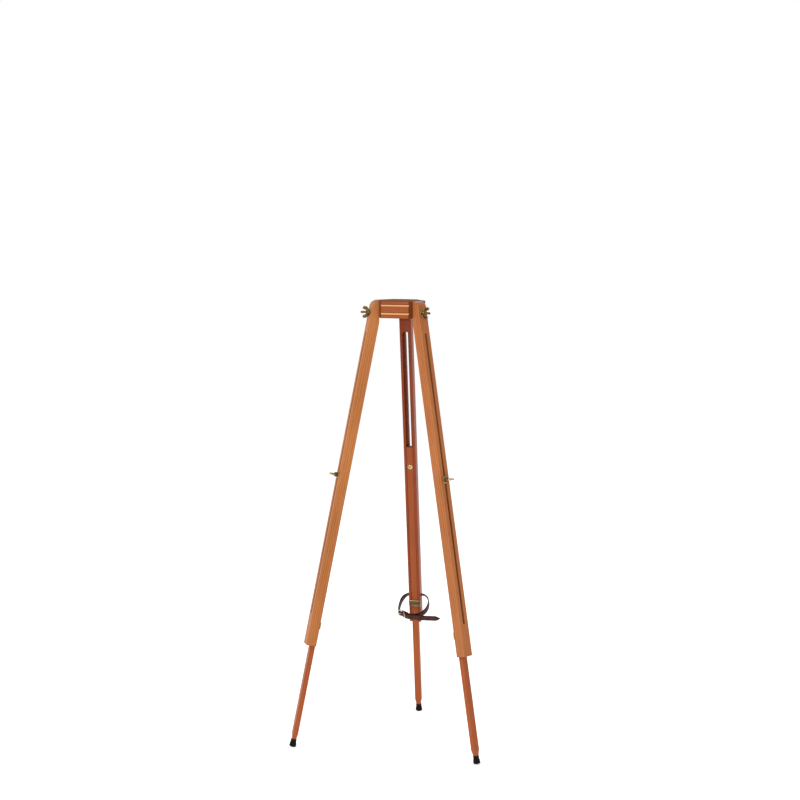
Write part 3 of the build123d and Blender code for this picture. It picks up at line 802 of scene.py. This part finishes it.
def strap_sections():
    """Place, width, thickness and distance from the tip of each section of the strap,
    from its folded end on. A place has X across the strap and Y through it."""
    fold = Vector(BUCKLE_PLACE)
    along = Vector((cos(BUCKLE_TURN), sin(BUCKLE_TURN)))
    out = Vector((-along.y, along.x))
    turn_radius = BUCKLE_WIRE + 0.05 + SKIVED / 2
    flap_gap = (STRAP_THICKNESS + SKIVED + STRAP_THICKNESS) / 2 + 0.05
    flap_end = fold + along * FOLD_FLAP - out * flap_gap
    bar_side = fold - out * turn_radius
    route = [(flap_end.lerp(bar_side, step / 12), SKIVED) for step in range(12)]
    for step in range(13):
        angle = -pi / 2 - pi * step / 12
        offset = along * cos(angle) + out * sin(angle)
        route.append((fold + offset * turn_radius, SKIVED))
    for index, point in enumerate(smooth_course(STRAP_COURSE, COURSE_POINTS)):
        here = Vector(point)
        from_start = (here - Vector(STRAP_COURSE[0])).length
        run = from_start if index < FOLD_POINTS else FOLD_EASE
        if run < FOLD_START:
            continue
        ease = smoothed(run / FOLD_EASE)
        lift = out * (turn_radius - 0.15) * (1 - ease)
        route.append((here + lift, SKIVED + (STRAP_THICKNESS - SKIVED) * ease))
    points = [Vector((p.x, p.y, 0)) for p, _ in route]
    lengths = [0.0]
    for before, after in zip(points, points[1:]):
        lengths.append(lengths[-1] + (after - before).length)
    total = lengths[-1]
    sections = []
    for index, (point, thickness) in enumerate(route):
        ahead = points[min(index + 1, len(points) - 1)] - points[max(index - 1, 0)]
        direction = ahead.normalized()
        lean = STRAP_DROOP * (1 - smoothed(point.y / 18.0))
        across = Vector((0, sin(lean), -cos(lean)))
        across = (across - direction * across.dot(direction)).normalized()
        through = direction.cross(across)
        to_tip = total - lengths[index]
        width = STRAP_WIDTH
        if to_tip < STRAP_TIP:
            width *= max(1 - (1 - to_tip / STRAP_TIP) ** 1.9, 0.03)
            thickness *= 0.75 + 0.25 * to_tip / STRAP_TIP
        place = from_axes(points[index], across, through, direction)
        sections.append((place, width, thickness, to_tip))
    return sections


def strap_mesh():
    """Leather strap with rounded edges, folded end, prong slots and punched holes."""
    sections = strap_sections()
    rings = []
    for place, width, thickness, _ in sections:
        outline = rounded_rectangle(width, thickness, min(0.75, width / 3), 3)
        rings.append([place @ Vector((x, y, 0)) for x, y in outline])
    strip, tools = bmesh.new(), bmesh.new()
    skin(strip, rings)
    for from_tip in STRAP_HOLES:
        place = min(sections, key=lambda section: abs(section[3] - from_tip))[0]
        rod_in(tools, place @ Matrix.Rotation(pi / 2, 4, "X"), STRAP_HOLE_RADIUS, 8.0)
    buckle = Matrix.Translation((*BUCKLE_PLACE, 0)) @ Matrix.Rotation(BUCKLE_TURN, 4, "Z")
    box_in(tools, buckle @ Matrix.Translation((-1.2, 0, 0)), PRONG_SLOT)
    box_in(tools, buckle @ Matrix.Translation((-3.7, 4.0, 0)), PRONG_MOUTH)
    return carved(strip, tools)


def swept(bm, points, radii, closed=False, count=20):
    """Round or oval wire along points; radii gives (flat, deep) at each point."""
    rings = []
    last = len(points) - 1
    for index, (point, (flat, deep)) in enumerate(zip(points, radii)):
        before = points[index - 1] if closed or index else points[0]
        after = points[(index + 1) % len(points) if closed else min(index + 1, last)]
        direction = (Vector(after) - Vector(before)).normalized()
        side = Vector((0, 1, 0)) if abs(direction.y) < 0.9 else Vector((1, 0, 0))
        side = (side - direction * side.dot(direction)).normalized()
        other = direction.cross(side)
        rings.append([
            Vector(point) + side * deep * cos(angle) + other * flat * sin(angle)
            for angle in (2 * pi * step / count for step in range(count))
        ])
    skin(bm, rings, closed)


def buckle_frame_shape():
    """Curved buckle: a rounded rectangle of wire, bowed over its middle bar."""
    bm = bmesh.new()
    outline = rounded_rectangle(2 * BUCKLE_REACH, 2 * BUCKLE_RAIL, BUCKLE_CORNER, 7)
    course = []
    for index, (x, z) in enumerate(outline):
        following = outline[(index + 1) % len(outline)]
        pieces = max(int((Vector(following) - Vector((x, z))).length / 0.9), 1)
        for step in range(pieces):
            t = step / pieces
            px, pz = x + (following[0] - x) * t, z + (following[1] - z) * t
            course.append((px, BUCKLE_RISE * (abs(px) / BUCKLE_REACH) ** 1.5, pz))
    swept(bm, course, [(BUCKLE_WIRE, BUCKLE_WIRE)] * len(course), closed=True)
    bar = [(0, 0, -BUCKLE_RAIL), (0, 0, BUCKLE_RAIL)]
    swept(bm, bar, [(BUCKLE_WIRE, BUCKLE_WIRE)] * 2)
    return bm


def buckle_prong_shape():
    """Prong: a flat eye curled round the middle bar and an arm out to the outer bar."""
    bm = bmesh.new()
    course, radii = [], []
    for step in range(22):
        angle = radians(150 + 290 * step / 21)
        course.append((PRONG_EYE * cos(angle), PRONG_EYE * sin(angle), 0))
        radii.append((1.2, 0.55))
    rest = BUCKLE_RISE + BUCKLE_WIRE + 0.65
    arm = [(-0.9, 2.0), (-3.6, 4.2), (-7.4, rest - 0.5), (-9.8, rest), (-12.4, rest - 0.1)]
    for step, (x, y) in enumerate(smooth_course(arm, 18)):
        course.append((x, y, 0))
        radii.append((1.2 - 0.02 * step, 0.62 - 0.006 * step))
    swept(bm, course, radii)
    return bm


# ---- assembly -----------------------------------------------------------------------
def add_leg_pieces(side, nut, clamp, nuts_brass, bolts_brass, plate_brass, panel, black):
    """Hardware and foot of one leg. The nut and the clamp bolt are meshes that the legs
    share."""
    clamp_place = leg_place(side, drop=CLAMP_DROP)
    seats = {
        "head": (head_seat(side), f"{side}_head"),
        "clamp": (clamp_place, f"{side}_clamp"),
    }
    for kind, (seat, body) in seats.items():
        lifted = outward(seat @ Matrix.Translation((0, WASHER_GAP, 0)))
        add_piece(f"washer_{kind}_{side}", washer_shape(), lifted, bolts_brass,
                  f"{body}_washer", f"{kind}_washer_{side}")
        turn = Matrix.Rotation(radians(WING_TURNS[kind][side]), 4, "Y")
        base = Matrix.Translation((0, WASHER_GAP + WASHER_THICKNESS, 0))
        add_piece(f"wing_nut_{kind}_{side}", nut, outward(seat @ turn @ base), nuts_brass,
                  f"{body}_nut", f"{kind}_wing_nut_{side}", ROUND_EDGES)
    bolt = bmesh.new()
    threaded_rod(bolt, HEAD_BOLT_FROM, SEAT_OUTER - 4.0, HEAD_BOLT_TIP)
    bolt_place = side_turn(side) @ Matrix.Translation((0, 0, HEAD_BOLT_Z))
    add_piece(f"stud_{side}", bolt, outward(bolt_place), nuts_brass, f"{side}_leg",
              f"head_bolt_{side}")
    add_piece(f"clamp_screw_{side}", clamp, outward(clamp_place), bolts_brass,
              f"{side}_extension", f"clamp_bolt_{side}")
    inner = leg_place(side, y=-LEG_DEPTH, drop=PLATE_MIDDLE)
    inner = inner @ Matrix.Rotation(radians(90), 4, "X")
    plate = add_piece(f"channel_plate_{side}", plate_shape(), inner, plate_brass,
                      f"{side}_leg", f"leg_plate_{side}")
    plate.data.materials.append(panel)
    on_plate = inner @ Matrix.Translation((0, 0, PLATE_THICKNESS))
    add_piece(f"channel_plate_screws_{side}", plate_screws_shape(), on_plate, nuts_brass,
              f"{side}_leg", f"plate_screws_{side}")
    add_piece(f"foot_{side}", foot_shape(), leg_place(side, y=LOWER_Y), black,
              f"{side}_extension", f"rubber_foot_{side}")


def build():
    """Paint the CAD nodes that stay, and set every new piece in place of its node."""
    nuts_brass = brass("aged brass nuts", *NUT_BRASS, 0.45)
    bolts_brass = brass("aged brass bolts", *BOLT_BRASS, 0.15)
    plate_brass = brass("aged brass plates", *PLATE_BRASS, 0.95, 0.0034, (0.30, 0.55))
    buckle_brass = brass("aged brass buckle", *BUCKLE_BRASS, 0.25)
    panel = brass("browned brass panel", *PANEL_BRASS, 0.5, gloss=(0.55, 0.75))
    black, hide = rubber(), leather()
    paint_frame(nuts_brass, steel())
    nut, clamp = wing_nut_mesh(), finished("clamp_stock", clamp_bolt_shape())
    for side in LEG_TURNS:
        add_leg_pieces(side, nut, clamp, nuts_brass, bolts_brass, plate_brass, panel, black)

    add_piece("leather_strap", strap_mesh(), LOOP, hide, "rear_leg", "strap")
    add_piece("buckle_wire", buckle_frame_shape(), BUCKLE, buckle_brass, "rear_leg",
              "buckle_frame", ROUND_EDGES)
    add_piece("buckle_tongue", buckle_prong_shape(), BUCKLE, buckle_brass, "rear_leg",
              "buckle_prong", ROUND_EDGES)
    face = outward(leg_place("rear", y=STRAP_THICKNESS + STRAP_GAP, drop=STRAP_DROP))
    add_piece("round_screw", slotted_screw(*STRAP_SCREW, STRAP_SCREW_TURN), face,
              bolts_brass, "rear_leg", "strap_screw")


# ---- stage --------------------------------------------------------------------------
def camera():
    """Camera at the photograph's angle, a little above the head and to the right."""
    position = Vector(CAMERA_PLACE)
    yaw, pitch, roll = (radians(turn) for turn in CAMERA_TURNS)
    forward = Vector((sin(yaw) * cos(pitch), cos(yaw) * cos(pitch), sin(pitch)))
    right = Vector((cos(yaw), -sin(yaw), 0))
    up = right.cross(forward)
    right, up = right * cos(roll) + up * sin(roll), up * cos(roll) - right * sin(roll)
    data = bpy.data.cameras.new("camera")
    data.sensor_width, data.lens = CAMERA_SENSOR, CAMERA_LENS
    data.shift_x, data.shift_y = CAMERA_SHIFT
    data.clip_start, data.clip_end = 0.05, 200
    obj = bpy.data.objects.new("camera", data)
    obj.matrix_world = from_axes(position, right, up, -forward)
    bpy.context.scene.collection.objects.link(obj)
    bpy.context.scene.camera = obj


def soft_light(name, place, size, power):
    """Round area light that faces the middle of the stand."""
    data = bpy.data.lights.new(name, "AREA")
    data.shape, data.size, data.energy = "DISK", size, power
    obj = bpy.data.objects.new(name, data)
    obj.location = place
    away = Vector(place) - Vector(LIGHT_AIM)
    obj.rotation_euler = away.to_track_quat("Z", "Y").to_euler()
    bpy.context.scene.collection.objects.link(obj)


def stage():
    """Pale floor, white surroundings that a camera sees brighter than they light, and
    three soft studio lights."""
    bm = bmesh.new()
    bmesh.ops.create_circle(bm, cap_ends=True, segments=96, radius=60.0)
    floor = loose_object("studio_floor", bm)
    shader = Shader("pale floor")
    mottle = shader.noise(shader.place, 5.0, 3.0)
    colour = shader.mix(mottle, *FLOOR)
    floor.data.materials.append(shader.finish(
        Base_Color=colour, Roughness=shader.ramp(mottle, 0, 1, 0.75, 0.9),
        Emission_Color=(1, 1, 1, 1), Emission_Strength=FLOOR_GLOW,
    ))
    world = bpy.data.worlds.new("studio")
    world.use_nodes = True
    tree = world.node_tree
    backdrop = tree.nodes["Background"]
    backdrop.inputs["Color"].default_value = (1, 1, 1, 1)
    seen = tree.nodes.new("ShaderNodeLightPath").outputs["Is Camera Ray"]
    strength = tree.nodes.new("ShaderNodeMapRange")
    tree.links.new(seen, strength.inputs["Value"])
    strength.inputs["To Min"].default_value = WORLD_LIGHT
    tree.links.new(strength.outputs[0], backdrop.inputs["Strength"])
    bpy.context.scene.world = world
    bpy.context.scene.view_settings.view_transform = "Standard"
    for name, (place, size, power) in LIGHTS.items():
        soft_light(name, place, size, power)


build()
camera()
stage()
